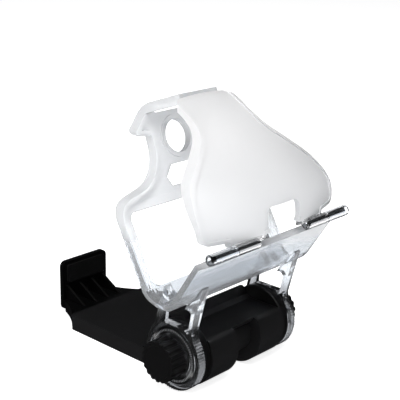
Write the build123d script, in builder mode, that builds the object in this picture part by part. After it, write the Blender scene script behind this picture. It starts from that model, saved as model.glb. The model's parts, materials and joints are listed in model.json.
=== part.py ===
from build123d import *
import math
import os

os.makedirs("parts", exist_ok=True)

# A clear clip-on bracket that holds a phone above a game controller.
# X runs along the clamp barrel, +Y points from the barrel to the sliding jaw,
# +Z is up. The origin lies on the table, straight below the barrel axis.

# ---- clamp: main sizes -------------------------------------------------------
BARREL_R = 12.9          # outside radius of the round nose
AXIS_Z = 12.9            # height of the barrel axis
HOUSING_HALF = 19.6      # half length of the barrel and half width of the bed
BED_TOP = 6.3            # height of the bed that carries the phone
BED_END = 62.0           # end of the bed, where the sliding jaw starts
BARREL_TOP = 20.0        # flat roof of the barrel block
LIP_TOP = 23.6           # top of the fixed lip
LIP_FACE = 9.0           # face of the fixed lip that the phone leans on
NOTCH_HALF = 6.0         # half width of the cable notch round the nose
NOTCH_DEPTH = 4.6

# slider channel in the bed
CHANNEL_HALF = 15.2
CHANNEL_LOW = 1.9
CHANNEL_HIGH = 5.0
CHANNEL_BACK = 14.0

# base plate under the bed
BASE_T = 1.5
BASE_HALF = 18.4
BASE_FRONT = 11.5
BASE_BACK = 60.8
SCREW_X = 17.2
SCREW_YS = (17.0, 55.0)
SCREW_R = 0.75

# sliding jaw
JAW_HALF = 11.7
JAW_FACE = 76.0
JAW_T = 2.0
JAW_TOP = 21.9
FOOT_LOW = 0.9
FOOT_HIGH = 5.6
FOOT_HALF = 19.0
TONGUE_HALF = 14.8
TONGUE_LOW = 2.15
TONGUE_HIGH = 4.75
TONGUE_BACK = 34.0
RIB_XS = (-9.6, -3.2, 3.2, 9.6)
PAD_T = 0.8

# tension springs between the barrel and the tongue
SPRING_X = 8.0
SPRING_FIX_Y = 17.5
SPRING_MOVE_Y = 37.0
SPRING_Z = 3.45
PIN_R = 0.6

# parts on the barrel axis, listed from the housing outwards
DISC_R = 12.4
DISC_IN = 19.7
DISC_OUT = 23.0
BOSS_R = 5.0
BOSS_OUT = 26.5
RING_R = 12.8
RING_IN = 23.1
RING_OUT = 26.4
WASHER_R = 6.4
WASHER_IN = 26.6
WASHER_OUT = 27.1
KNOB_R = 7.5
KNOB_IN = 27.2
KNOB_OUT = 33.6
FLUTES = 18
BOLT_R = 2.0
BOLT_FIT = 0.08
NUT_IN = 11.8
NUT_OUT = 15.0
NUT_FLATS = 7.0

# ---- controller shell: main sizes --------------------------------------------
SHEET = 2.0              # wall of the clear mouldings
LEAN_LOW = 29.7          # lean of the touchpad plate from upright, degrees
LEAN_HIGH = 19.8         # lean of the narrow upper plate
WINDOW_Y = 5.3           # lower edge of the touchpad window, on the outside
WINDOW_Z = 37.9
WINDOW_W = 62.0
WINDOW_H = 26.5
BEND_S = 29.5            # distance up the plate from window edge to bend
TOP_S = 62.3             # distance up the plates to the top edge
HINGE_Y = -24.9
HINGE_Z = 57.7
KNUCKLE_R = 1.9
HINGE_PIN_R = 1.0
KNUCKLE_INNER = 13.3
KNUCKLE_SPLIT = 24.1
KNUCKLE_END = 36.0
SHELL_HALF = 35.6
FLANGE_T = 1.7
FLANGE_DEPTH = 3.6

low = math.radians(LEAN_LOW)
high = math.radians(LEAN_HIGH)
BEND_Y = WINDOW_Y + BEND_S * math.sin(low)
BEND_Z = WINDOW_Z + BEND_S * math.cos(low)
TOP_Y = BEND_Y + (TOP_S - BEND_S) * math.sin(high)
TOP_Z = BEND_Z + (TOP_S - BEND_S) * math.cos(high)
END_WALL = 17.5
WALL_Y = TOP_Y - END_WALL * math.cos(high)
WALL_Z = TOP_Z + END_WALL * math.sin(high)
FOLD_Y = -2.1            # where the plate and the wrap would meet in a sharp edge
FOLD_Z = 24.9
FOLD_R = 9.0
SLOT_X = 27.9
WRAP_Y = -19.7           # upper kink of the wrap
WRAP_Z = 52.7
LAND_Y = -26.2           # where the wrap runs into the hinge knuckles
LAND_Z = 56.2

# planes lying on the outside of the two plates, z pointing to the controller
touch_plane = Plane(
    origin=(0, WINDOW_Y, WINDOW_Z),
    x_dir=(1, 0, 0),
    z_dir=(0, -math.cos(low), math.sin(low)),
)
neck_plane = Plane(
    origin=(0, BEND_Y, BEND_Z),
    x_dir=(1, 0, 0),
    z_dir=(0, -math.cos(high), math.sin(high)),
)
SIDES = (("left", -1), ("right", 1))


def save(builder, name):
    """Label a finished sub-part and write its STEP file."""
    builder.part.label = name
    export_step(builder.part, "parts/" + name + ".step")


def side_plane(side, distance):
    """Plane across the barrel axis, facing outwards on one side."""
    return Plane(
        origin=(side * distance, 0, AXIS_Z),
        x_dir=(0, side, 0),
        z_dir=(side, 0, 0),
    )


def toothed(radius, depth, teeth):
    """Corner points of a round outline with small straight teeth."""
    points = []
    for index in range(teeth * 2):
        reach = radius if index % 2 == 0 else radius - depth
        angle = math.pi * index / teeth
        points.append((reach * math.cos(angle), reach * math.sin(angle)))
    return points


# ---- clamp housing: bed, barrel block and fixed lip --------------------------
with BuildPart() as clamp_housing:
    with BuildSketch(Plane.YZ) as block_profile:
        with Locations((0, AXIS_Z)):
            Circle(BARREL_R)
        Polygon((-9.6, 10), (-9.6, BARREL_TOP), (3.4, BARREL_TOP),
                (5.4, BARREL_TOP + 1.0), (7.2, LIP_TOP), (LIP_FACE, LIP_TOP),
                (LIP_FACE, 10), align=None)
        Polygon((-20, BARREL_TOP), (3.4, BARREL_TOP), (5.4, BARREL_TOP + 1.0),
                (7.2, LIP_TOP), (LIP_FACE, LIP_TOP), (LIP_FACE, 0), (20, 0),
                (20, 40), (-20, 40), align=None, mode=Mode.SUBTRACT)
    extrude(amount=HOUSING_HALF, both=True)
    roof_edges = clamp_housing.edges().filter_by(Axis.X)
    front_edge = roof_edges.filter_by(lambda edge: edge.center().Z > AXIS_Z).sort_by(Axis.Y)[0]
    fillet(front_edge, radius=3.0)
    with BuildSketch(Plane.XY):
        with Locations((0, BED_END / 2)):
            RectangleRounded(2 * HOUSING_HALF, BED_END, 0.8)
    extrude(amount=BED_TOP)
    # cable notch round the front and the underside of the nose
    with BuildSketch(Plane.YZ) as notch:
        with Locations((0, AXIS_Z)):
            Circle(BARREL_R + 4)
            Circle(BARREL_R - NOTCH_DEPTH, mode=Mode.SUBTRACT)
        Polygon((-9.0, 40), (-9.0, BARREL_TOP - 1), (-1.5, AXIS_Z),
                (2.0, -10), (40, -10), (40, 40), align=None, mode=Mode.SUBTRACT)
    extrude(amount=NOTCH_HALF, both=True, mode=Mode.SUBTRACT)
    # channel for the tongue, open at the end of the bed
    with BuildSketch(Plane.XY.offset(CHANNEL_LOW - 0.4)):
        with Locations((0, (CHANNEL_BACK + BED_END + 2) / 2)):
            Rectangle(2 * CHANNEL_HALF, BED_END + 2 - CHANNEL_BACK)
    extrude(amount=CHANNEL_HIGH - CHANNEL_LOW + 0.4, mode=Mode.SUBTRACT)
    # recess for the base plate
    with BuildSketch(Plane.XY):
        with Locations((0, (BASE_FRONT + BASE_BACK) / 2)):
            Rectangle(2 * BASE_HALF + 0.2, BASE_BACK - BASE_FRONT + 0.2)
    extrude(amount=BASE_T + 0.05, mode=Mode.SUBTRACT)
    # blind holes for the base screws
    with BuildSketch(Plane.XY.offset(1.0)):
        with Locations(*[(side * SCREW_X, y) for side in (-1, 1) for y in SCREW_YS]):
            Circle(SCREW_R + 0.03)
    extrude(amount=4.2, mode=Mode.SUBTRACT)
    for name, side in SIDES:
        # bore for the clamp bolt
        with BuildSketch(side_plane(side, HOUSING_HALF)):
            Circle(BOLT_R + 0.25)
        extrude(amount=-(HOUSING_HALF - 9.0), mode=Mode.SUBTRACT)
        # square seat that keys the toothed disc
        with BuildSketch(side_plane(side, HOUSING_HALF)):
            Rectangle(9.1, 9.1)
        extrude(amount=-2.6, mode=Mode.SUBTRACT)
        # pocket for the captive nut, open underneath
        with BuildSketch(Plane.XY.offset(-1)):
            with Locations((side * (NUT_IN + NUT_OUT) / 2, 0)):
                Rectangle(NUT_OUT - NUT_IN + 0.16, NUT_FLATS + 0.16)
        extrude(amount=AXIS_Z + NUT_FLATS / 2 + 1.7, mode=Mode.SUBTRACT)
    # pins that hold the fixed ends of the springs reach up into the roof
    with BuildSketch(Plane.XY.offset(CHANNEL_HIGH)):
        with Locations((-SPRING_X, SPRING_FIX_Y), (SPRING_X, SPRING_FIX_Y)):
            Circle(PIN_R + 0.02)
    extrude(amount=0.7, mode=Mode.SUBTRACT)
    top_edges = clamp_housing.edges().filter_by(Axis.X)
    top_edges = top_edges.filter_by(lambda e: abs(e.center().Z - LIP_TOP) < 0.01)
    fillet(top_edges, radius=0.6)
save(clamp_housing, "clamp_housing")

# ---- base plate that closes the bed from below -------------------------------
with BuildPart() as base_plate:
    with BuildSketch(Plane.XY):
        with Locations((0, (BASE_FRONT + BASE_BACK) / 2)):
            RectangleRounded(2 * BASE_HALF, BASE_BACK - BASE_FRONT, 1.0)
    extrude(amount=BASE_T)
    with Locations(*[Pos(side * SCREW_X, y, 0) * Rot(180, 0, 0)
                     for side in (-1, 1) for y in SCREW_YS]):
        CounterSinkHole(SCREW_R + 0.05, 0.95 + 0.05, depth=4, counter_sink_angle=90)
    # shallow moulded field that keeps the label area off the table
    with BuildSketch(Plane.XY):
        with Locations((0, 36)):
            RectangleRounded(26, 34, 2)
    extrude(amount=0.3, mode=Mode.SUBTRACT)
save(base_plate, "base_plate")

# ---- four screws of the base plate -------------------------------------------
with BuildPart() as base_screws:
    with Locations(*[(side * SCREW_X, y, 0.05) for side in (-1, 1) for y in SCREW_YS]):
        Cone(0.92, SCREW_R - 0.02, 0.2, align=(Align.CENTER, Align.CENTER, Align.MIN))
        Cylinder(SCREW_R - 0.02, 4.9, align=(Align.CENTER, Align.CENTER, Align.MIN))
    with Locations(*[(side * SCREW_X, y, 0.05) for side in (-1, 1) for y in SCREW_YS]):
        Box(0.26, 1.3, 0.5, mode=Mode.SUBTRACT)
        Box(1.3, 0.26, 0.5, mode=Mode.SUBTRACT)
save(base_screws, "base_screws")

# ---- sliding jaw: tapered foot, upright plate, gussets and tongue ------------
with BuildPart() as sliding_jaw:
    foot_start = BED_END + 0.3
    with BuildSketch(Plane.XY.offset(FOOT_LOW)):
        with BuildLine():
            Polyline((-JAW_HALF, JAW_FACE + JAW_T), (JAW_HALF, JAW_FACE + JAW_T),
                     (JAW_HALF, JAW_FACE - 1.0))
            ThreePointArc((JAW_HALF, JAW_FACE - 1.0), (14.2, 69.2), (FOOT_HALF, foot_start))
            Line((FOOT_HALF, foot_start), (-FOOT_HALF, foot_start))
            ThreePointArc((-FOOT_HALF, foot_start), (-14.2, 69.2), (-JAW_HALF, JAW_FACE - 1.0))
            Line((-JAW_HALF, JAW_FACE - 1.0), (-JAW_HALF, JAW_FACE + JAW_T))
        make_face()
    extrude(amount=FOOT_HIGH - FOOT_LOW)
    with BuildSketch(Plane.XZ.offset(-JAW_FACE)):
        with Locations((0, (JAW_TOP + FOOT_LOW) / 2)):
            RectangleRounded(2 * JAW_HALF, JAW_TOP - FOOT_LOW, 2.4)
    extrude(amount=-JAW_T)
    with BuildSketch(Plane.XZ.offset(-JAW_FACE - JAW_T)):
        with Locations((0, FOOT_LOW + 2.4)):
            Rectangle(2 * JAW_HALF, 4.8)
        with Locations((0, FOOT_LOW + 5.0)):
            RectangleRounded(2 * JAW_HALF, 10.0, 2.4, mode=Mode.SUBTRACT)
    extrude(amount=6, mode=Mode.SUBTRACT)
    # four gussets between the foot and the upright plate
    for rib_x in RIB_XS:
        with BuildSketch(Plane.YZ.offset(rib_x)):
            Polygon((65.2, FOOT_HIGH - 0.2), (JAW_FACE + 0.2, FOOT_HIGH - 0.2),
                    (JAW_FACE + 0.2, 11.8), (65.2, FOOT_HIGH + 0.1), align=None)
        extrude(amount=0.5, both=True)
    # tongue that runs in the bed
    with BuildSketch(Plane.XY.offset(TONGUE_LOW)):
        with Locations((0, (TONGUE_BACK + foot_start + 1) / 2)):
            Rectangle(2 * TONGUE_HALF, foot_start + 1 - TONGUE_BACK)
        for side in (-1, 1):
            with Locations((side * SPRING_X, TONGUE_BACK + 2.2)):
                Rectangle(4.2, 4.4, mode=Mode.SUBTRACT)
    extrude(amount=TONGUE_HIGH - TONGUE_LOW)
    with BuildSketch(Plane.XY.offset(TONGUE_HIGH - 0.4)):
        with Locations((0, SPRING_MOVE_Y + 13)):
            RectangleRounded(14, 18, 1.5)
    extrude(amount=0.4, mode=Mode.SUBTRACT)
    # cross holes for the pins that pull the springs
    for side in (-1, 1):
        with Locations(Pos(side * SPRING_X, SPRING_MOVE_Y, SPRING_Z) * Rot(0, 90, 0)):
            Cylinder(PIN_R + 0.02, 7.4, mode=Mode.SUBTRACT)
save(sliding_jaw, "sliding_jaw")

# ---- soft pads ---------------------------------------------------------------
with BuildPart() as jaw_pad:
    with BuildSketch(Plane.XZ.offset(-JAW_FACE + 0.02)):
        with Locations((0, 16.6)):
            RectangleRounded(19.6, 7.6, 1.2)
    extrude(amount=PAD_T)
save(jaw_pad, "jaw_pad")

with BuildPart() as lip_pad:
    with BuildSketch(Plane.XZ.offset(-LIP_FACE - 0.02 - PAD_T)):
        with Locations((0, 14.6)):
            RectangleRounded(34.0, 12.4, 1.2)
    extrude(amount=PAD_T)
save(lip_pad, "lip_pad")

# ---- spring pins and springs -------------------------------------------------
with BuildPart() as fixed_spring_pins:
    with Locations(*[(side * SPRING_X, SPRING_FIX_Y, BASE_T + 0.1) for side in (-1, 1)]):
        Cylinder(PIN_R, 4.0, align=(Align.CENTER, Align.CENTER, Align.MIN))
save(fixed_spring_pins, "fixed_spring_pins")

with BuildPart() as jaw_spring_pins:
    with Locations(*[Pos(side * SPRING_X, SPRING_MOVE_Y, SPRING_Z) * Rot(0, 90, 0)
                     for side in (-1, 1)]):
        Cylinder(PIN_R, 7.2)
save(jaw_spring_pins, "jaw_spring_pins")

COIL_R = 0.95
WIRE_R = 0.2
COIL_START = SPRING_FIX_Y + 1.4
COIL_LENGTH = SPRING_MOVE_Y - SPRING_FIX_Y - 2.8
for name, side in SIDES:
    coil_plane = Plane(
        origin=(side * SPRING_X, COIL_START, SPRING_Z),
        x_dir=(1, 0, 0),
        z_dir=(0, 1, 0),
    )
    coil_path = coil_plane * Helix(pitch=0.9, height=COIL_LENGTH, radius=COIL_R)
    with BuildPart() as spring:
        with BuildSketch(Plane(origin=coil_path @ 0, z_dir=coil_path % 0)):
            Circle(WIRE_R)
        sweep(path=coil_path, is_frenet=True)
        # hooks at both ends, each a ring round its pin
        with Locations(Pos(side * SPRING_X, SPRING_FIX_Y, SPRING_Z)):
            Torus(COIL_R - 0.05, WIRE_R)
        with Locations(Pos(side * SPRING_X, SPRING_MOVE_Y, SPRING_Z) * Rot(0, 90, 0)):
            Torus(COIL_R - 0.05, WIRE_R)
        with BuildSketch(Plane.XZ.offset(-SPRING_FIX_Y - COIL_R + 0.1)):
            with Locations((side * SPRING_X, SPRING_Z)):
                Circle(WIRE_R)
        extrude(amount=-(1.4 - COIL_R + 0.3))
        with BuildSketch(Plane.XZ.offset(-SPRING_MOVE_Y + COIL_R - 0.1)):
            with Locations((side * SPRING_X, SPRING_Z)):
                Circle(WIRE_R)
        extrude(amount=1.4 - COIL_R + 0.3)
    save(spring, "tension_spring_" + name)

# ---- parts that repeat at both ends of the barrel ----------------------------
for name, side in SIDES:
    # toothed disc keyed into the housing, with the boss the leg turns on
    with BuildPart() as tooth_disc:
        with BuildSketch(side_plane(side, DISC_IN)):
            Circle(DISC_R)
        extrude(amount=DISC_OUT - DISC_IN)
        with BuildSketch(side_plane(side, DISC_IN)):
            Rectangle(9.0, 9.0)
        extrude(amount=-2.4)
        with BuildSketch(side_plane(side, DISC_OUT)):
            Circle(BOSS_R)
        extrude(amount=BOSS_OUT - DISC_OUT)
        with BuildSketch(side_plane(side, BOSS_OUT)):
            Circle(BOLT_R + BOLT_FIT)
        extrude(amount=-10, mode=Mode.SUBTRACT)
        chamfer(tooth_disc.edges().filter_by(GeomType.CIRCLE).sort_by(SortBy.RADIUS)[-2:], 0.4)
    save(tooth_disc, "tooth_disc_" + name)

    with BuildPart() as washer:
        with BuildSketch(side_plane(side, WASHER_IN)):
            Circle(WASHER_R)
            Circle(BOLT_R + 0.15, mode=Mode.SUBTRACT)
        extrude(amount=WASHER_OUT - WASHER_IN)
    save(washer, "washer_" + name)

    # fluted knob with a pocket for the bolt head and a seat for the cap
    with BuildPart() as knob:
        with BuildSketch(side_plane(side, KNOB_IN)):
            Circle(KNOB_R)
            with PolarLocations(KNOB_R + 0.35, FLUTES):
                Circle(0.85, mode=Mode.SUBTRACT)
        extrude(amount=KNOB_OUT - KNOB_IN)
        with BuildSketch(side_plane(side, KNOB_OUT)):
            Circle(6.0)
        extrude(amount=-1.2, mode=Mode.SUBTRACT)
        with BuildSketch(side_plane(side, KNOB_OUT - 1.2)):
            RegularPolygon(3.55, 6, major_radius=False)
        extrude(amount=-2.9, mode=Mode.SUBTRACT)
        with BuildSketch(side_plane(side, KNOB_OUT)):
            Circle(BOLT_R + 0.04)
        extrude(amount=-10, mode=Mode.SUBTRACT)
    save(knob, "knob_" + name)

    with BuildPart() as knob_cap:
        with BuildSketch(side_plane(side, KNOB_OUT - 1.15)):
            Circle(5.95)
        extrude(amount=1.15)
        chamfer(knob_cap.edges().filter_by(GeomType.CIRCLE).sort_by(Axis.X)[side], 0.25)
    save(knob_cap, "knob_cap_" + name)

    with BuildPart() as clamp_bolt:
        with BuildSketch(side_plane(side, KNOB_OUT - 1.3)):
            RegularPolygon(3.5, 6, major_radius=False)
        extrude(amount=-2.75)
        with BuildSketch(side_plane(side, KNOB_OUT - 1.3)):
            Circle(BOLT_R)
        extrude(amount=-(KNOB_OUT - 1.3 - 9.8))
        chamfer(clamp_bolt.edges().filter_by(GeomType.CIRCLE).sort_by(Axis.X)[0 if side > 0 else -1], 0.4)
    save(clamp_bolt, "clamp_bolt_" + name)

    with BuildPart() as captive_nut:
        with BuildSketch(side_plane(side, NUT_IN + 0.05)):
            RegularPolygon(NUT_FLATS / 2, 6, major_radius=False, rotation=30)
            Circle(BOLT_R + BOLT_FIT, mode=Mode.SUBTRACT)
        extrude(amount=NUT_OUT - NUT_IN - 0.1)
    save(captive_nut, "captive_nut_" + name)

# ---- outline and side profile of the face shell ------------------------------
NECK_HALF = 13.2         # half width between the two stick clearances
STICK_R = 12.5           # radius of the arcs that clear the thumb sticks
EAR_HALF = 21.9          # half width over the ears that grip the handles
END_HALF = 9.6
SHELL_CORNERS = [
    (SHELL_HALF, 29.4), (SHELL_HALF, 65.0), (NECK_HALF, 70.2), (NECK_HALF, 84.8),
    (EAR_HALF, 85.5), (10.3, 95.2), (END_HALF, 98.5), (END_HALF, 110.0),
]
CORNER_RADII = (9.0, 7.0, STICK_R, 0.8, 1.2, 2.0)
SIDE_PATH = [
    (WALL_Y, WALL_Z), (TOP_Y, TOP_Z), (BEND_Y, BEND_Z), (FOLD_Y, FOLD_Z),
    (WRAP_Y, WRAP_Z), (LAND_Y, LAND_Z),
]


def near(builder, corner):
    """Vertices of a sketch that lie on the given corner or its mirror image."""
    return builder.vertices().filter_by(
        lambda point: abs(abs(point.X) - corner[0]) < 0.01 and abs(point.Y - corner[1]) < 0.01
    )


def shell_front():
    """Mirror-symmetric front outline of the shell, in local plane coordinates."""
    with BuildSketch(Plane.XZ) as front:
        Polygon(*SHELL_CORNERS, *[(-x, z) for x, z in reversed(SHELL_CORNERS)], align=None)
        for corner, radius in zip(SHELL_CORNERS, CORNER_RADII):
            fillet(near(front, corner), radius=radius)
    return front.sketch_local


def shifted(path, distance):
    """Open path moved to its right by a distance, with mitred corners."""
    moved = []
    for index, (u, v) in enumerate(path):
        before = path[max(index - 1, 0):index + 1] if index else path[0:2]
        after = path[index:index + 2] if index + 1 < len(path) else path[-2:]
        normals = []
        for start, end in (before, after):
            length = math.dist(start, end)
            normals.append(((end[1] - start[1]) / length, -(end[0] - start[0]) / length))
        sum_u = normals[0][0] + normals[1][0]
        sum_v = normals[0][1] + normals[1][1]
        scale = 2 * distance / (sum_u ** 2 + sum_v ** 2)
        moved.append((u + sum_u * scale, v + sum_v * scale))
    return moved


def shell_strip(thickness):
    """Bent sheet of the given thickness: end wall, plates, fold and wrap."""
    inner_path = shifted(SIDE_PATH, thickness)
    with BuildPart() as strip:
        with BuildSketch(Plane.YZ) as profile:
            Polygon(*SIDE_PATH, *reversed(inner_path), align=None)
            rounds = (
                (SIDE_PATH[3], FOLD_R), (inner_path[3], max(FOLD_R - thickness, 0.8)),
                (SIDE_PATH[1], SHEET + 0.6), (inner_path[1], 0.6),
            )
            for (u, v), radius in rounds:
                corner = profile.vertices().filter_by(
                    lambda point: math.dist((point.X, point.Y), (u, v)) < 0.01
                )
                fillet(corner, radius=radius)
        extrude(amount=KNUCKLE_END, both=True)
    return strip.part


# ---- stiffening flange that follows the outline ------------------------------
with BuildPart() as side_flange:
    add(shell_strip(FLANGE_DEPTH))
    with BuildSketch(Plane.XZ):
        add(shell_front())
        offset(shell_front(), amount=-FLANGE_T, mode=Mode.SUBTRACT)
        with Locations((0, 28)):
            Rectangle(2 * (SHELL_HALF - 9.0), 10, mode=Mode.SUBTRACT)
    extrude(amount=120, both=True, mode=Mode.INTERSECT)
    # it ends where the fold begins
    with BuildSketch(Plane.YZ):
        Polygon((-2.5, 42.4), (13.1, 33.4), (13.1, 10), (-60, 10), (-60, 90), (-2.5, 90), align=None)
    extrude(amount=50, both=True, mode=Mode.SUBTRACT)

# ---- bent sheet of the face shell, cut to its front outline ------------------
with BuildPart() as bent_sheet:
    add(shell_strip(SHEET))
    with BuildSketch(Plane.XZ):
        add(shell_front())
    extrude(amount=120, both=True, mode=Mode.INTERSECT)

# ---- face shell: plates, fold, wrap, end wall, legs and outer knuckles -------
with BuildPart() as face_shell:
    # legs first, trimmed to stay outside the sheet
    for name, side in SIDES:
        with BuildSketch(Plane.YZ.offset(side * RING_IN)) as leg:
            Polygon((-11.0, 16.0), (-8.8, 24.0), (-12.5, 38.2), (-13.6, 41.4), (-8, 44), (3.5, 40),
                    (5.0, 37.2), (5.6, 32.5), (7.6, 26.6), (10.2, 15.0), align=None)
            Polygon((-6.9, 22.4), (-8.6, 31.2), (-7.4, 32.4), (3.2, 31.4), (4.8, 29.0),
                    (5.4, 22.4), align=None, mode=Mode.SUBTRACT)
            with Locations((0, AXIS_Z)):
                Circle(11.3)
        extrude(amount=side * (RING_OUT - RING_IN))
        with BuildSketch(Plane.YZ.offset(side * RING_IN)):
            with Locations((0, AXIS_Z)):
                Polygon(*toothed(RING_R, 0.4, 72), align=None)
            with Locations((0, AXIS_Z + 17.6)):
                Rectangle(13.0, 12.4, mode=Mode.SUBTRACT)
        extrude(amount=side * (RING_OUT - RING_IN))
        with BuildSketch(Plane.YZ.offset(side * RING_OUT)):
            with Locations((0, AXIS_Z)):
                Circle(10.7)
                Circle(8.2, mode=Mode.SUBTRACT)
        extrude(amount=-side * 0.5, mode=Mode.SUBTRACT)
        with BuildSketch(Plane.YZ.offset(side * RING_IN)):
            with Locations((0, AXIS_Z)):
                Circle(BOSS_R + 0.08)
        extrude(amount=side * (RING_OUT - RING_IN), mode=Mode.SUBTRACT)
    with BuildSketch(Plane.YZ) as inside:
        with BuildLine() as inner:
            Polyline((BEND_Y - 1.0, BEND_Z + 0.2), (FOLD_Y, FOLD_Z + 1.9),
                     (WRAP_Y + 1.0, WRAP_Z + 0.2), (BEND_Y - 1.0, BEND_Z + 0.2))
            fillet(inner.vertices().sort_by(Axis.Z)[0], radius=FOLD_R - 1.0)
        make_face()
    extrude(amount=KNUCKLE_END, both=True, mode=Mode.SUBTRACT)
    add(bent_sheet.part)
    add(side_flange.part)
    # touchpad window
    with BuildSketch(touch_plane.offset(-1)):
        with Locations((0, WINDOW_H / 2)):
            RectangleRounded(WINDOW_W, WINDOW_H, 3.0)
    extrude(amount=4.5, mode=Mode.SUBTRACT)
    # speaker window with six corners
    with BuildSketch(neck_plane.offset(-1)):
        Polygon((5.9, 39.2 - BEND_S), (9.2, 35.3 - BEND_S), (7.4, 31.7 - BEND_S),
                (-7.4, 31.7 - BEND_S), (-9.2, 35.3 - BEND_S), (-5.9, 39.2 - BEND_S), align=None)
    extrude(amount=4.5, mode=Mode.SUBTRACT)
    # round button hole with a raised rim on the inside
    with BuildSketch(neck_plane):
        with Locations((0, 48.8 - BEND_S)):
            Circle(7.7)
    extrude(amount=SHEET + 0.8)
    with BuildSketch(neck_plane.offset(-1)):
        with Locations((0, 48.8 - BEND_S)):
            Circle(6.1)
    extrude(amount=5, mode=Mode.SUBTRACT)
    # long slot near the top edge
    with BuildSketch(neck_plane.offset(-1)):
        with Locations((0, 59.2 - BEND_S)):
            SlotOverall(16.5, 1.6)
    extrude(amount=4.5, mode=Mode.SUBTRACT)
    # two small square drain slots in the fold, just outside the legs
    with BuildSketch(Plane.XY.offset(30)):
        with Locations((-SLOT_X, 0.5), (SLOT_X, 0.5)):
            Rectangle(2.7, 3.1)
    extrude(amount=9, mode=Mode.SUBTRACT)
    # clear the hinge line, then add the outer knuckles
    with Locations(Pos(0, HINGE_Y, HINGE_Z) * Rot(0, 90, 0)):
        Cylinder(KNUCKLE_R + 0.4, 2 * KNUCKLE_SPLIT + 0.3, mode=Mode.SUBTRACT)
    for name, side in SIDES:
        span = KNUCKLE_END - KNUCKLE_SPLIT - 0.15
        centre = side * (KNUCKLE_SPLIT + 0.15 + span / 2)
        with Locations(Pos(centre, HINGE_Y, HINGE_Z) * Rot(0, 90, 0)):
            Cylinder(KNUCKLE_R, span)
    with Locations(Pos(0, HINGE_Y, HINGE_Z) * Rot(0, 90, 0)):
        Cylinder(HINGE_PIN_R + 0.02, 2 * KNUCKLE_END + 4, mode=Mode.SUBTRACT)
save(face_shell, "face_shell")

# ---- back cover: one doubly curved sheet -------------------------------------
COVER_SPINE = [
    (-25.3, 57.0), (-25.9, 63.0), (-24.4, 69.6), (-20.2, 75.6), (-12.0, 82.6),
    (-3.6, 89.4), (4.8, 95.4), (13.0, 99.6),
]
COVER_SAG = 7.0          # how far the side edges fall behind the middle
COVER_HALF = 36.0
COVER_LOW = 60.2         # lower edge beside the knuckles
TAB_LOW = 57.9           # lower edge of the tabs that carry the knuckles
COVER_CORNERS = [
    (9.4, COVER_LOW), (9.8, TAB_LOW), (24.0, TAB_LOW), (24.4, COVER_LOW), (34.0, COVER_LOW),
    (35.5, 69.0), (32.0, 76.8), (17.0, 88.4), (14.3, 92.2), (14.0, 112.0),
]
COVER_RADII = (2.6, 12.0, 16.0, 12.0, 8.0)
PORT_HALF = 8.4
PORT_TOP = 68.4
RIM_RAISE = 0.5
RIM_W = 1.3


def cover_sheet(outer, inner):
    """Sweep the bowed cross-section between two offsets up the cover's spine."""
    edge = COVER_HALF
    out_edge = COVER_SAG + outer
    in_edge = COVER_SAG + inner
    with BuildPart() as sheet:
        with BuildLine(Plane.YZ) as spine:
            Spline(*COVER_SPINE)
        across = Plane(origin=spine.line @ 0, x_dir=(1, 0, 0), z_dir=spine.line % 0)
        with BuildSketch(across):
            with BuildLine():
                ThreePointArc((-edge, out_edge), (0, outer), (edge, out_edge))
                Line((edge, out_edge), (edge, in_edge))
                ThreePointArc((edge, in_edge), (0, inner), (-edge, in_edge))
                Line((-edge, in_edge), (-edge, out_edge))
            make_face()
        sweep(path=spine.line)
    return sheet.part


def cover_front():
    """Mirror-symmetric front outline of the cover, in local plane coordinates."""
    with BuildSketch(Plane.XZ) as front:
        Polygon(*COVER_CORNERS, *[(-x, z) for x, z in reversed(COVER_CORNERS)], align=None)
        for corner, radius in zip(COVER_CORNERS[-len(COVER_RADII) - 1:], COVER_RADII):
            fillet(near(front, corner), radius=radius)
    return front.sketch_local


# raised bead along the edge of the cover
with BuildPart() as cover_bead:
    add(cover_sheet(-RIM_RAISE, 1.0))
    with BuildSketch(Plane.XZ):
        add(cover_front())
        offset(cover_front(), amount=-RIM_W, mode=Mode.SUBTRACT)
    extrude(amount=120, both=True, mode=Mode.INTERSECT)

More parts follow.
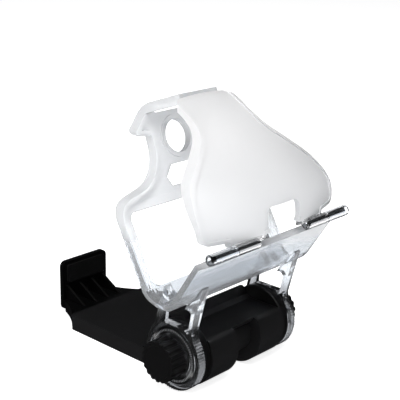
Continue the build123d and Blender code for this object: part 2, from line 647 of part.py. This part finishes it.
with BuildPart() as back_cover:
    add(cover_sheet(0, SHEET))
    with BuildSketch(Plane.XZ):
        add(cover_front())
    extrude(amount=120, both=True, mode=Mode.INTERSECT)
    add(cover_bead.part)
    # opening for the cable socket, open towards the hinge line
    with BuildSketch(Plane.XZ) as port:
        Polygon((7.0, 50.0), (7.0, 58.4), (PORT_HALF, 62.6), (PORT_HALF, PORT_TOP),
                (-PORT_HALF, PORT_TOP), (-PORT_HALF, 62.6), (-7.0, 58.4), (-7.0, 50.0), align=None)
        fillet(port.vertices().group_by(Axis.Y)[-1], radius=2.4)
    extrude(amount=120, both=True, mode=Mode.SUBTRACT)
    # clear the outer knuckles, then add the inner ones
    for name, side in SIDES:
        with Locations(Pos(side * 31.0, HINGE_Y, HINGE_Z) * Rot(0, 90, 0)):
            Cylinder(KNUCKLE_R + 0.4, 2 * (31.0 - KNUCKLE_SPLIT), mode=Mode.SUBTRACT)
        span = KNUCKLE_SPLIT - 0.15 - KNUCKLE_INNER
        centre = side * (KNUCKLE_INNER + span / 2)
        with Locations(Pos(centre, HINGE_Y, HINGE_Z) * Rot(0, 90, 0)):
            Cylinder(KNUCKLE_R, span)
    with Locations(Pos(0, HINGE_Y, HINGE_Z) * Rot(0, 90, 0)):
        Cylinder(HINGE_PIN_R + 0.06, 2 * KNUCKLE_SPLIT + 1, mode=Mode.SUBTRACT)
    # stop the tongue short of the end wall and take off its corners
    with BuildSketch(Plane.YZ):
        Polygon((WALL_Y - 1.5, 80), (40, 80), (40, 120), (WALL_Y - 1.0, 120), align=None)
    extrude(amount=40, both=True, mode=Mode.SUBTRACT)
    for name, side in SIDES:
        with BuildSketch(Plane.XY.offset(80)):
            Polygon((side * 10.2, WALL_Y), (side * 16, WALL_Y - 5.4), (side * 16, WALL_Y + 6),
                    (side * 10.2, WALL_Y + 6), align=None)
        extrude(amount=40, mode=Mode.SUBTRACT)
save(back_cover, "back_cover")

# ---- steel hinge pins --------------------------------------------------------
for name, side in SIDES:
    with BuildPart() as hinge_pin:
        with Locations(Pos(side * 23.6, HINGE_Y, HINGE_Z) * Rot(0, 90, 0)):
            Cylinder(HINGE_PIN_R, 22.2)
        chamfer(hinge_pin.edges().filter_by(GeomType.CIRCLE), 0.2)
    save(hinge_pin, "hinge_pin_" + name)
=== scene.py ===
# %% [markdown]
# # A clear phone mount for a game controller
#
# The object is a clip-on shell of clear plastic with a black phone clamp between its two legs.
# Every rigid piece already exists as a solid of true size, so this lesson keeps those solids where
# they are and gives them what a camera sees: finishes, fine moulded detail and light.
# One unit is one metre. X runs along the clamp's barrel, +Y points to the sliding jaw, +Z is up.

# %% load the fixed frame
import json
import math

import bpy
import numpy as np
from mathutils import Matrix, Vector


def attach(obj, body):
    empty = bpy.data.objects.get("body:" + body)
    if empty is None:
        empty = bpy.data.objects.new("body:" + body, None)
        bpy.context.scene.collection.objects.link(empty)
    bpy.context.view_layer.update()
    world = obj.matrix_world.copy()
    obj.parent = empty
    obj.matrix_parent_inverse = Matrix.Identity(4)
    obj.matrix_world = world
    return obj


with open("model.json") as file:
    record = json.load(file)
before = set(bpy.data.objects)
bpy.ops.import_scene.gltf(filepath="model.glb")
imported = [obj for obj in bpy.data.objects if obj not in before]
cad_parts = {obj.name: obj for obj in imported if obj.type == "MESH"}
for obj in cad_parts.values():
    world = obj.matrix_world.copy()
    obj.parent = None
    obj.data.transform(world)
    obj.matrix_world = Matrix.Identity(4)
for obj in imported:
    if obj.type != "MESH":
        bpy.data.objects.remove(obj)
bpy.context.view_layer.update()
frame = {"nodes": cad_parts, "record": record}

nodes = frame["nodes"]
MM = 0.001

# %% [markdown]
# ## The camera
#
# A long lens keeps the parallel edges of the bed almost parallel. The camera is built from its
# viewing direction: the back vector points from the object to the lens, the right vector is level,
# and a small roll tips both. The frame is shifted sideways, as with a view camera, so that the
# object sits slightly right of the optical axis without turning the lens.

# %% camera
AZIMUTH = math.radians(-46.48)
ELEVATION = math.radians(18.08)
ROLL = math.radians(0.86)
CAMERA_AT = Vector((-250.9, -216.0, 169.9)) * MM

back = Vector((math.sin(AZIMUTH) * math.cos(ELEVATION),
               -math.cos(AZIMUTH) * math.cos(ELEVATION),
               math.sin(ELEVATION)))
level = Vector((math.cos(AZIMUTH), math.sin(AZIMUTH), 0))
upright = back.cross(level)
right = level * math.cos(ROLL) + upright * math.sin(ROLL)
up = upright * math.cos(ROLL) - level * math.sin(ROLL)

camera_data = bpy.data.cameras.new("camera")
camera_data.lens = 89.69
camera_data.sensor_width = 36
camera_data.shift_x = 0.0494
camera_data.shift_y = 0.0101
camera_data.clip_start = 0.01
camera_data.clip_end = 20
camera = bpy.data.objects.new("camera", camera_data)
bpy.context.scene.collection.objects.link(camera)
camera.matrix_world = Matrix((
    (right.x, up.x, back.x, CAMERA_AT.x),
    (right.y, up.y, back.y, CAMERA_AT.y),
    (right.z, up.z, back.z, CAMERA_AT.z),
    (0, 0, 0, 1),
))
bpy.context.scene.camera = camera
print("camera looks along", [round(value, 3) for value in -back])

# %% [markdown]
# ## Shader maths in plain expressions
#
# Material patterns are sums and products of noise. Wrapping a socket in a small class lets those
# be written as ordinary Python expressions: `0.2 + 0.1 * noise` adds the Math nodes by itself.

# %% a socket that can be added and multiplied
class Wire:
    """An output socket of a material's node tree that takes part in arithmetic."""

    def __init__(self, tree, socket):
        self.tree = tree
        self.socket = socket

    def node(self, kind, settings=None, values=None, output=0):
        """Add a node: its settings first, then the values or links of its sockets."""
        made = self.tree.nodes.new(kind)
        for name, value in (settings or {}).items():
            if name == "stops":
                ramp = made.color_ramp
                ramp.elements[0].position, ramp.elements[0].color = value[0]
                ramp.elements[1].position, ramp.elements[1].color = value[-1]
                for position, colour in value[1:-1]:
                    ramp.elements.new(position).color = colour
            else:
                setattr(made, name, value)
        for key, value in (values or {}).items():
            if isinstance(value, Wire):
                self.tree.links.new(value.socket, made.inputs[key])
            else:
                made.inputs[key].default_value = value
        return Wire(self.tree, made.outputs[output])

    def maths(self, operation, *operands):
        """One Math node on the given operands."""
        return self.node("ShaderNodeMath", {"operation": operation}, dict(enumerate(operands)))

    def part(self, axis):
        """One component of a vector: 0 for x, 1 for y, 2 for z."""
        return self.node("ShaderNodeSeparateXYZ", {}, {0: self}, output=axis)

    def size(self):
        """The value without its sign."""
        return self.maths("ABSOLUTE", self)

    def __add__(self, other):
        return self.maths("ADD", self, other)

    def __sub__(self, other):
        return self.maths("SUBTRACT", self, other)

    def __rsub__(self, other):
        return self.maths("SUBTRACT", other, self)

    def __mul__(self, other):
        return self.maths("MULTIPLY", self, other)

    def __pow__(self, other):
        return self.maths("POWER", self, other)

    __radd__ = __add__
    __rmul__ = __mul__


def new_material(name, settings):
    """A material with one Principled shader whose fixed numbers are set on its own sockets."""
    material = bpy.data.materials.new(name)
    material.use_nodes = True
    tree = material.node_tree
    shader = tree.nodes["Principled BSDF"]
    for key, value in settings.items():
        shader.inputs[key].default_value = value
    coordinates = tree.nodes.new("ShaderNodeTexCoord")
    place = Wire(tree, coordinates.outputs["Object"])
    return material, shader, place


def feed(shader, place, name, wire):
    """Link a wire to a named socket of the shader."""
    place.tree.links.new(wire.socket, shader.inputs[name])


def noise(place, scale, detail=2.0, rough=0.5, stretch=(1, 1, 1)):
    """Fractal noise of the given scale, in cycles per metre, stretched by a Mapping node."""
    mapped = place.node("ShaderNodeMapping", {"vector_type": "POINT"}, {"Vector": place, "Scale": stretch})
    return place.node("ShaderNodeTexNoise", {"noise_dimensions": "3D"},
                      {"Vector": mapped, "Scale": scale, "Detail": detail, "Roughness": rough})


def bump(shader, place, height, strength, distance):
    """Tilt the surface by the slope of a height pattern."""
    wire = place.node("ShaderNodeBump", {}, {"Height": height, "Strength": strength, "Distance": distance})
    feed(shader, place, "Normal", wire)


def tint(place, factor, dark, light):
    """Blend two colours by a factor."""
    return place.node("ShaderNodeMix", {"data_type": "RGBA"}, {0: factor, 6: dark, 7: light}, output=2)


# %% [markdown]
# ## Clear polycarbonate
#
# The shell is injection-moulded plastic, a dielectric: nearly all light passes, bent by an index of
# 1.45, and a few percent reflects. Three things keep it from looking like optical glass. Grey streaks
# along X tint the wrap: moulded ridge lines, darkened as painted shade for the dark room refracted
# through the plastic. A milky paling grows with height and towards the right, a painted reflection
# of the bright surroundings. A faint ripple and haze vary the gloss from place to place. Low down,
# where the rings wrap the black discs, the plastic is tinted dark as painted shade that deepens the
# black seen through it, and at the hinge it stays clear, so that the pins show.

# %% clear plastic
def ramp(place, factor, low_end, high_end):
    """Smooth ramp from 0 at low_end to 1 at high_end, held outside, as one Map Range node."""
    return place.node("ShaderNodeMapRange", {"interpolation_type": "SMOOTHSTEP", "clamp": True},
                      {0: factor, 1: low_end, 2: high_end, 3: 0.0, 4: 1.0})


def plastic_shader(place, settings):
    """One more Principled shader in the same tree, with fixed numbers on its sockets."""
    made = place.tree.nodes.new("ShaderNodeBsdfPrincipled")
    for key, value in settings.items():
        made.inputs[key].default_value = value
    return made


def mix_shaders(material, place, factor, first, second):
    """Blend two shaders by a factor and send the result to the output."""
    mixer = place.tree.nodes.new("ShaderNodeMixShader")
    place.tree.links.new(factor.socket, mixer.inputs[0])
    place.tree.links.new(first.outputs[0], mixer.inputs[1])
    place.tree.links.new(second.outputs[0], mixer.inputs[2])
    output = material.node_tree.nodes["Material Output"]
    place.tree.links.new(mixer.outputs[0], output.inputs["Surface"])


HINGE_LINE = (-24.9 * MM, 57.7 * MM)
BARREL_LINE = (0, 12.9 * MM)
KNUCKLE_RADIUS = 1.9 * MM
RING_TOP = 24.5 * MM         # above this the painted shade on the rings fades
LEG_TOP = 31 * MM            # and here it is gone
SHEEN_START = 50 * MM         # the painted reflection, a milky paling, begins and is full at these heights
SHEEN_FULL = 62 * MM
WRAP_FRONT = -6 * MM         # the wrap lies at smaller y than this
WRAP_BACK = 1 * MM
RIM_INSIDE = 31 * MM         # the side rims lie at larger |x| than this
RIM_BLEND = 0.4 * MM
GROOVE_PITCH = 1.25 * MM     # spacing of the fine grooves along the side rims


def radius_about(place, line):
    """Distance from a line along X that passes through the given y and z."""
    beside = place.part(1) - line[0]
    above = place.part(2) - line[1]
    return (beside * beside + above * above) ** 0.5


def away_from_hinge(place):
    """0 inside the hinge knuckles, 1 beyond them."""
    return ramp(place, radius_about(place, HINGE_LINE), KNUCKLE_RADIUS, KNUCKLE_RADIUS + 0.5 * MM)


material, clear, place = new_material("clear_shell", {
    "Transmission Weight": 1.0, "IOR": 1.45, "Specular IOR Level": 0.5,
})
milk = plastic_shader(place, {
    "Base Color": (0.93, 0.94, 0.955, 1), "Transmission Weight": 0.35, "IOR": 1.45,
    "Roughness": 0.22,
})
shell_plastic = material
wide, deep, tall = (place.part(axis) for axis in range(3))
streaks = noise(place, 420, detail=4, rough=0.65, stretch=(0.03, 1, 1))
wisps = noise(place, 60, detail=4, rough=0.6)
flow = noise(place, 55, detail=1, stretch=(0.3, 1, 1))

body = ramp(place, tall, RING_TOP, LEG_TOP)
# Painted reflection: the milky paling starts lower towards the right and grows with height, standing in
# for bright surroundings reflected in the upper shell.
rightward_sheen = 0.30 * wide.maths("MAXIMUM", wide, 0.0)
painted_sheen = ramp(place, tall + rightward_sheen, SHEEN_START, SHEEN_FULL)
on_wrap = 1 - ramp(place, deep, WRAP_FRONT, WRAP_BACK)
side_rim = ramp(place, wide.size(), RIM_INSIDE - RIM_BLEND, RIM_INSIDE + RIM_BLEND)
on_rim = side_rim * (1 - on_wrap)
grooves = 0.5 + 0.5 * wide.maths("SINE", wide.size() * (2 * math.pi / GROOVE_PITCH))

# Grey streaks on the wrap: real moulded ridge lines, darkened as painted shade for the dark room refracted
# through the plastic.
pale = ramp(place, streaks, 0.3, 0.7) * on_wrap + on_rim * grooves + 0.35 * (1 - on_wrap)
ridges_and_shade = tint(place, pale, (0.56, 0.61, 0.67, 1), (0.84, 0.875, 0.91, 1))
# Painted shade: below RING_TOP the clear rings are tinted dark, deepening the black discs seen through
# them.
ring_shade_and_ridges = tint(place, body, (0.32, 0.33, 0.35, 1), ridges_and_shade)
feed(clear, place, "Base Color", tint(place, painted_sheen, ring_shade_and_ridges, (0.90, 0.92, 0.94, 1)))
feed(clear, place, "Roughness", 0.02 + 0.06 * wisps)
bump(clear, place, flow * 0.3 + streaks * on_wrap * 0.4 + grooves * on_rim * 0.25, 0.12, 0.0005)
feed(milk, place, "Roughness", 0.16 + 0.12 * wisps)
# Milky share: real haze low down, plus the painted reflection that makes the upper shell milky and pale.
haze = 0.02 + 0.17 * body + 0.08 * body * streaks + 0.66 * painted_sheen
mix_shaders(material, place, haze * away_from_hinge(place), clear, milk)
print("made", shell_plastic.name)

# %% [markdown]
# ## The faintly frosted cover
#
# The back cover is the same plastic, but its skin scatters more, so the view through it is milky.
# A share of the light is scattered back diffusely, and the rest goes through a rougher surface.
# The cover is a little darker towards the hinge, and its knuckles are clear.

# %% frosted cover
COVER_FOOT = 56 * MM
COVER_HEAD = 94 * MM


def frosted_plastic(name, low_colour, colour, through):
    """Milky moulding, part diffuse and part rough transmission, clear at the knuckles."""
    material, shader, place = new_material(name, {
        "Transmission Weight": through, "IOR": 1.44,
        "Coat Weight": 0.15, "Coat Roughness": 0.12,
    })
    cloud = noise(place, 45, detail=4, rough=0.55)
    grain = noise(place, 1600, detail=2)
    feed(shader, place, "Roughness", 0.24 + 0.16 * cloud)
    bump(shader, place, cloud * 0.8 + grain * 0.05, 0.05, 0.0006)
    climb = ramp(place, place.part(2), COVER_FOOT, COVER_HEAD)
    feed(shader, place, "Base Color", tint(place, climb, low_colour, colour))
    glass = plastic_shader(place, {"Transmission Weight": 1.0, "IOR": 1.45, "Roughness": 0.05})
    mix_shaders(material, place, away_from_hinge(place), glass, shader)
    return material


cover_plastic = frosted_plastic("clear_cover", (0.86, 0.87, 0.885, 1), (0.985, 0.985, 0.99, 1), 0.35)

# %% [markdown]
# ## Black ABS
#
# The clamp's bed and barrel are black ABS from a polished mould: a dark base colour, a clear
# reflection, and a very slight orange peel. Knobs and discs come from a blasted mould, so they are
# rougher. A little dust and handling shows as broad, soft changes in roughness.

# %% black mouldings
def black_plastic(name, shade, haze, spread, peel, grain_scale):
    """Black moulding with wandering gloss and an orange-peel or blasted skin."""
    material, shader, place = new_material(name, {"IOR": 1.5, "Specular IOR Level": 0.5})
    cloud = noise(place, 40, detail=5, rough=0.6)
    grain = noise(place, grain_scale, detail=3)
    dark = (shade, shade, shade * 1.06, 1)
    light = (shade * 2.0, shade * 2.0, shade * 2.15, 1)
    feed(shader, place, "Base Color", tint(place, cloud, dark, light))
    feed(shader, place, "Roughness", haze + spread * cloud + 0.05 * grain)
    bump(shader, place, grain, peel, 0.0003)
    return material


# Bed and jaw are one black ABS. The housing's base colour is lighter as painted reflection, brightening
# the bed top and barrel roof; the jaw's is darker as painted shade of its face towards the dark room.
housing_black_painted_sheen = black_plastic("black_housing", 0.0055, 0.30, 0.16, 0.05, 350)
jaw_black_painted_shade = black_plastic("black_jaw", 0.0006, 0.20, 0.16, 0.05, 350)
disc_black = black_plastic("black_disc", 0.002, 0.30, 0.14, 0.12, 1500)
knob_black = black_plastic("black_knob", 0.002, 0.34, 0.14, 0.14, 1800)
cap_black = black_plastic("knob_cap", 0.0025, 0.24, 0.12, 0.06, 500)
base_black = black_plastic("base_plate", 0.004, 0.45, 0.15, 0.30, 2600)

# %% [markdown]
# ## Rubber, steel and zinc
#
# The pads are matt elastomer. Ground steel pins show fine lines round their length, which a noise
# squeezed along X draws. Zinc plate has a cloudy, faintly blue bloom.

# %% pads and metals
def soft_rubber(name):
    """Matt black elastomer with a fine skin."""
    material, shader, place = new_material(name, {"Specular IOR Level": 0.18})
    cloud = noise(place, 120, detail=4)
    grain = noise(place, 2400, detail=3)
    dark, light = (0.0012, 0.0012, 0.0013, 1), (0.003, 0.003, 0.0032, 1)
    feed(shader, place, "Base Color", tint(place, cloud, dark, light))
    feed(shader, place, "Roughness", 0.62 + 0.2 * cloud)
    bump(shader, place, grain, 0.25, 0.0003)
    return material


def metal(name, dark, light, haze, spread, stretch, scratch):
    """Bare or plated metal with drawn or ground lines."""
    material, shader, place = new_material(name, {"Metallic": 1.0})
    cloud = noise(place, 300, detail=4)
    lines = noise(place, 2200, detail=3, stretch=stretch)
    feed(shader, place, "Base Color", tint(place, cloud, dark, light))
    feed(shader, place, "Roughness", haze + spread * lines)
    bump(shader, place, lines, scratch, 0.0001)
    return material


def paint_bore_shade(material, reach):
    """Paint the surface black beyond a distance from the middle, as painted shade where it lies deep in
    its bore.
    """
    tree = material.node_tree
    shader = tree.nodes["Principled BSDF"]
    ground = Wire(tree, shader.inputs["Base Color"].links[0].from_socket)
    place = Wire(tree, tree.nodes["Texture Coordinate"].outputs["Object"])
    end = ramp(place, place.part(0).size(), reach, reach + 0.2 * MM)
    feed(shader, place, "Base Color", tint(place, end, ground, (0.002, 0.002, 0.002, 1)))


pad_rubber = soft_rubber("soft_pad")
pin_steel = metal("hinge_steel", (0.52, 0.53, 0.55, 1), (0.70, 0.71, 0.73, 1),
                  0.12, 0.16, (0.08, 1, 1), 0.15)
# Painted shade: the pin ends are painted black where they sit deep in their bores.
paint_bore_shade(pin_steel, 34.3 * MM)
zinc_plate = metal("zinc_steel", (0.50, 0.52, 0.56, 1), (0.68, 0.70, 0.74, 1),
                   0.22, 0.20, (1, 1, 1), 0.10)
spring_wire = metal("spring_steel", (0.40, 0.40, 0.42, 1), (0.60, 0.60, 0.62, 1),
                    0.20, 0.18, (1, 0.2, 1), 0.15)
screw_steel = metal("screw_black", (0.05, 0.05, 0.055, 1), (0.10, 0.10, 0.11, 1),
                    0.30, 0.20, (1, 1, 1), 0.15)
print("made pads and metals")

# %% hang the finishes on the solids
finishes = {
    "clear_shell": shell_plastic, "clear_cover": cover_plastic, "black_housing": housing_black_painted_sheen,
    "black_jaw": jaw_black_painted_shade, "black_disc": disc_black, "black_knob": knob_black, "knob_cap": cap_black,
    "base_plate": base_black, "soft_pad": pad_rubber, "hinge_steel": pin_steel,
    "zinc_steel": zinc_plate, "spring_steel": spring_wire, "screw_black": screw_steel,
}
for row in frame["record"]["subparts"]:
    node = nodes[row["node"]]
    node.data.materials.clear()
    node.data.materials.append(finishes[row["material_slot"]])

# %% [markdown]
# ## Crown teeth on the leg rings
#
# Each ring has a shallow groove in its outer face, filled by a crown of fine radial teeth. Walk
# round the groove by angle and across it by four profile points: inner foot, inner edge, outer
# edge, outer foot. The two edges rise and fall with a triangle wave of the angle, one wave per
# tooth, so the whole crown is a single grid of numbers.

# %% crown teeth
GROOVE_FLOOR = 25.9 * MM
GLINT_FROM = 26.28 * MM        # the painted glints on the tooth tips fade in between these distances
GLINT_FULL = 26.42 * MM
GLINT_CIRCLE = 9.3 * MM
CROWN_RADII = (8.3, 8.45, 10.45, 10.6)
FOOT_GAP = 0.02 * MM
TOOTH_HEIGHT = 0.42 * MM
TEETH = 72


def toothed_plastic(name):
    """Dark teeth with one circle of painted glints, drawn only where the teeth rise above the groove."""
    material, shader, place = new_material(name, {"Specular IOR Level": 0.6, "Coat Weight": 0.5})
    speck = noise(place, 1500, detail=2)
    off_circle = (radius_about(place, BARREL_LINE) - GLINT_CIRCLE).size()
    raised = ramp(place, place.part(0).size() + 0.2 * MM * speck, GLINT_FROM, GLINT_FULL)
    # Painted highlight: the raised tooth tips on one circle are painted pale grey as glints.
    glint = raised * (1 - ramp(place, off_circle, 0.2 * MM, 0.6 * MM))
    feed(shader, place, "Base Color", tint(place, glint, (0.004, 0.004, 0.0045, 1), (0.55, 0.56, 0.58, 1)))
    feed(shader, place, "Roughness", 0.16 + 0.1 * speck)
    return material


crown_plastic = toothed_plastic("ring_crown")


def crown(name, side):
    """Closed grid: x = floor + lift * wave(angle), y and z on circles of four radii."""
    angles = np.linspace(0, 2 * np.pi, TEETH * 4, endpoint=False)
    wave = 1 - np.abs((angles * TEETH / (2 * np.pi)) % 1 * 2 - 1)
    radii = np.array(CROWN_RADII) * MM
    lift = np.array([0.0, 1.0, 1.0, 0.0])
    x = side * (GROOVE_FLOOR + FOOT_GAP + TOOTH_HEIGHT * wave[:, None] * lift)
    y = np.cos(angles)[:, None] * radii
    z = BARREL_LINE[1] + np.sin(angles)[:, None] * radii
    points = np.stack([x, y, z], axis=-1).reshape(-1, 3)
    across = len(radii)
    first = (np.arange(len(angles))[:, None] * across + np.arange(across - 1)).ravel()
    following = (first + across) % len(points)
    quads = np.stack([first, following, following + 1, first + 1], axis=-1)
    if side < 0:
        quads = quads[:, ::-1]
    mesh = bpy.data.meshes.new(name)
    mesh.from_pydata(points.tolist(), [], quads.tolist())
    mesh.materials.append(crown_plastic)
    piece = bpy.data.objects.new(name, mesh)
    bpy.context.scene.collection.objects.link(piece)
    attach(piece, "shell")
    return piece


for name, side in (("left", -1), ("right", 1)):
    crown("ring_crown_" + name, side)
print("made two crowns of", TEETH, "teeth")

# %% [markdown]
# ## Floor and light
#
# Clear plastic is read from what it bends. The floor and the backdrop are plain and bright, but
# everything off to the sides is a dark room, so edges and rims draw themselves in grey, and the
# black mouldings stay black except where one of the two softboxes is mirrored.

# %% floor
def floor_material():
    """Pale matt floor that glows enough to lose its edge against the backdrop."""
    material, shader, place = new_material("pale_floor", {"Specular IOR Level": 0.1})
    cloud = noise(place, 6, detail=3)
    feed(shader, place, "Base Color", tint(place, cloud, (0.93, 0.93, 0.935, 1), (0.95, 0.95, 0.955, 1)))
    shader.inputs["Roughness"].default_value = 0.8
    shader.inputs["Emission Color"].default_value = (1, 1, 1, 1)
    shader.inputs["Emission Strength"].default_value = 0.85
    return material


floor_mesh = bpy.data.meshes.new("floor")
reach = 3.0
floor_mesh.from_pydata([(-reach, -reach, 0), (reach, -reach, 0), (reach, reach, 0), (-reach, reach, 0)],
                       [], [(0, 1, 2, 3)])
floor_mesh.materials.append(floor_material())
floor = bpy.data.objects.new("floor", floor_mesh)
bpy.context.scene.collection.objects.link(floor)
floor.location.z = -0.0001
floor.visible_glossy = False

# %% world and lamps
scene = bpy.context.scene
world = bpy.data.worlds.new("studio")
scene.world = world
world.use_nodes = True
sky_tree = world.node_tree
sky = sky_tree.nodes["Background"]
sky.inputs["Strength"].default_value = 1.0
path = sky_tree.nodes.new("ShaderNodeLightPath")
seen = Wire(sky_tree, path.outputs["Is Camera Ray"])
direction = Wire(sky_tree, sky_tree.nodes.new("ShaderNodeTexCoord").outputs["Generated"])
height = direction.part(2)
room = height.node("ShaderNodeValToRGB", {"stops": (
    (0.0, (0.015, 0.015, 0.016, 1)), (0.5, (0.03, 0.03, 0.032, 1)), (1.0, (0.05, 0.05, 0.052, 1)))},
    {0: height})
shown = tint(room, seen, room, (1, 1, 1, 1))
sky_tree.links.new(shown.socket, sky.inputs["Color"])
scene.view_settings.view_transform = "Standard"
scene.view_settings.look = "None"


def softbox(name, place, target, size, power):
    """A rectangular area lamp at a place, facing a target."""
    lamp = bpy.data.lights.new(name, "AREA")
    lamp.shape = "RECTANGLE"
    lamp.size, lamp.size_y = size
    lamp.energy = power
    made = bpy.data.objects.new(name, lamp)
    scene.collection.objects.link(made)
    made.location = place
    made.rotation_euler = (Vector(target) - Vector(place)).to_track_quat("-Z", "Y").to_euler()
    return made


middle = (0, 0.02, 0.05)
softbox("top_box", (-0.25, -0.25, 0.85), middle, (0.6, 0.6), 7.8)
softbox("left_box", (-0.9, 0.1, 0.45), middle, (0.3, 0.7), 2.5)
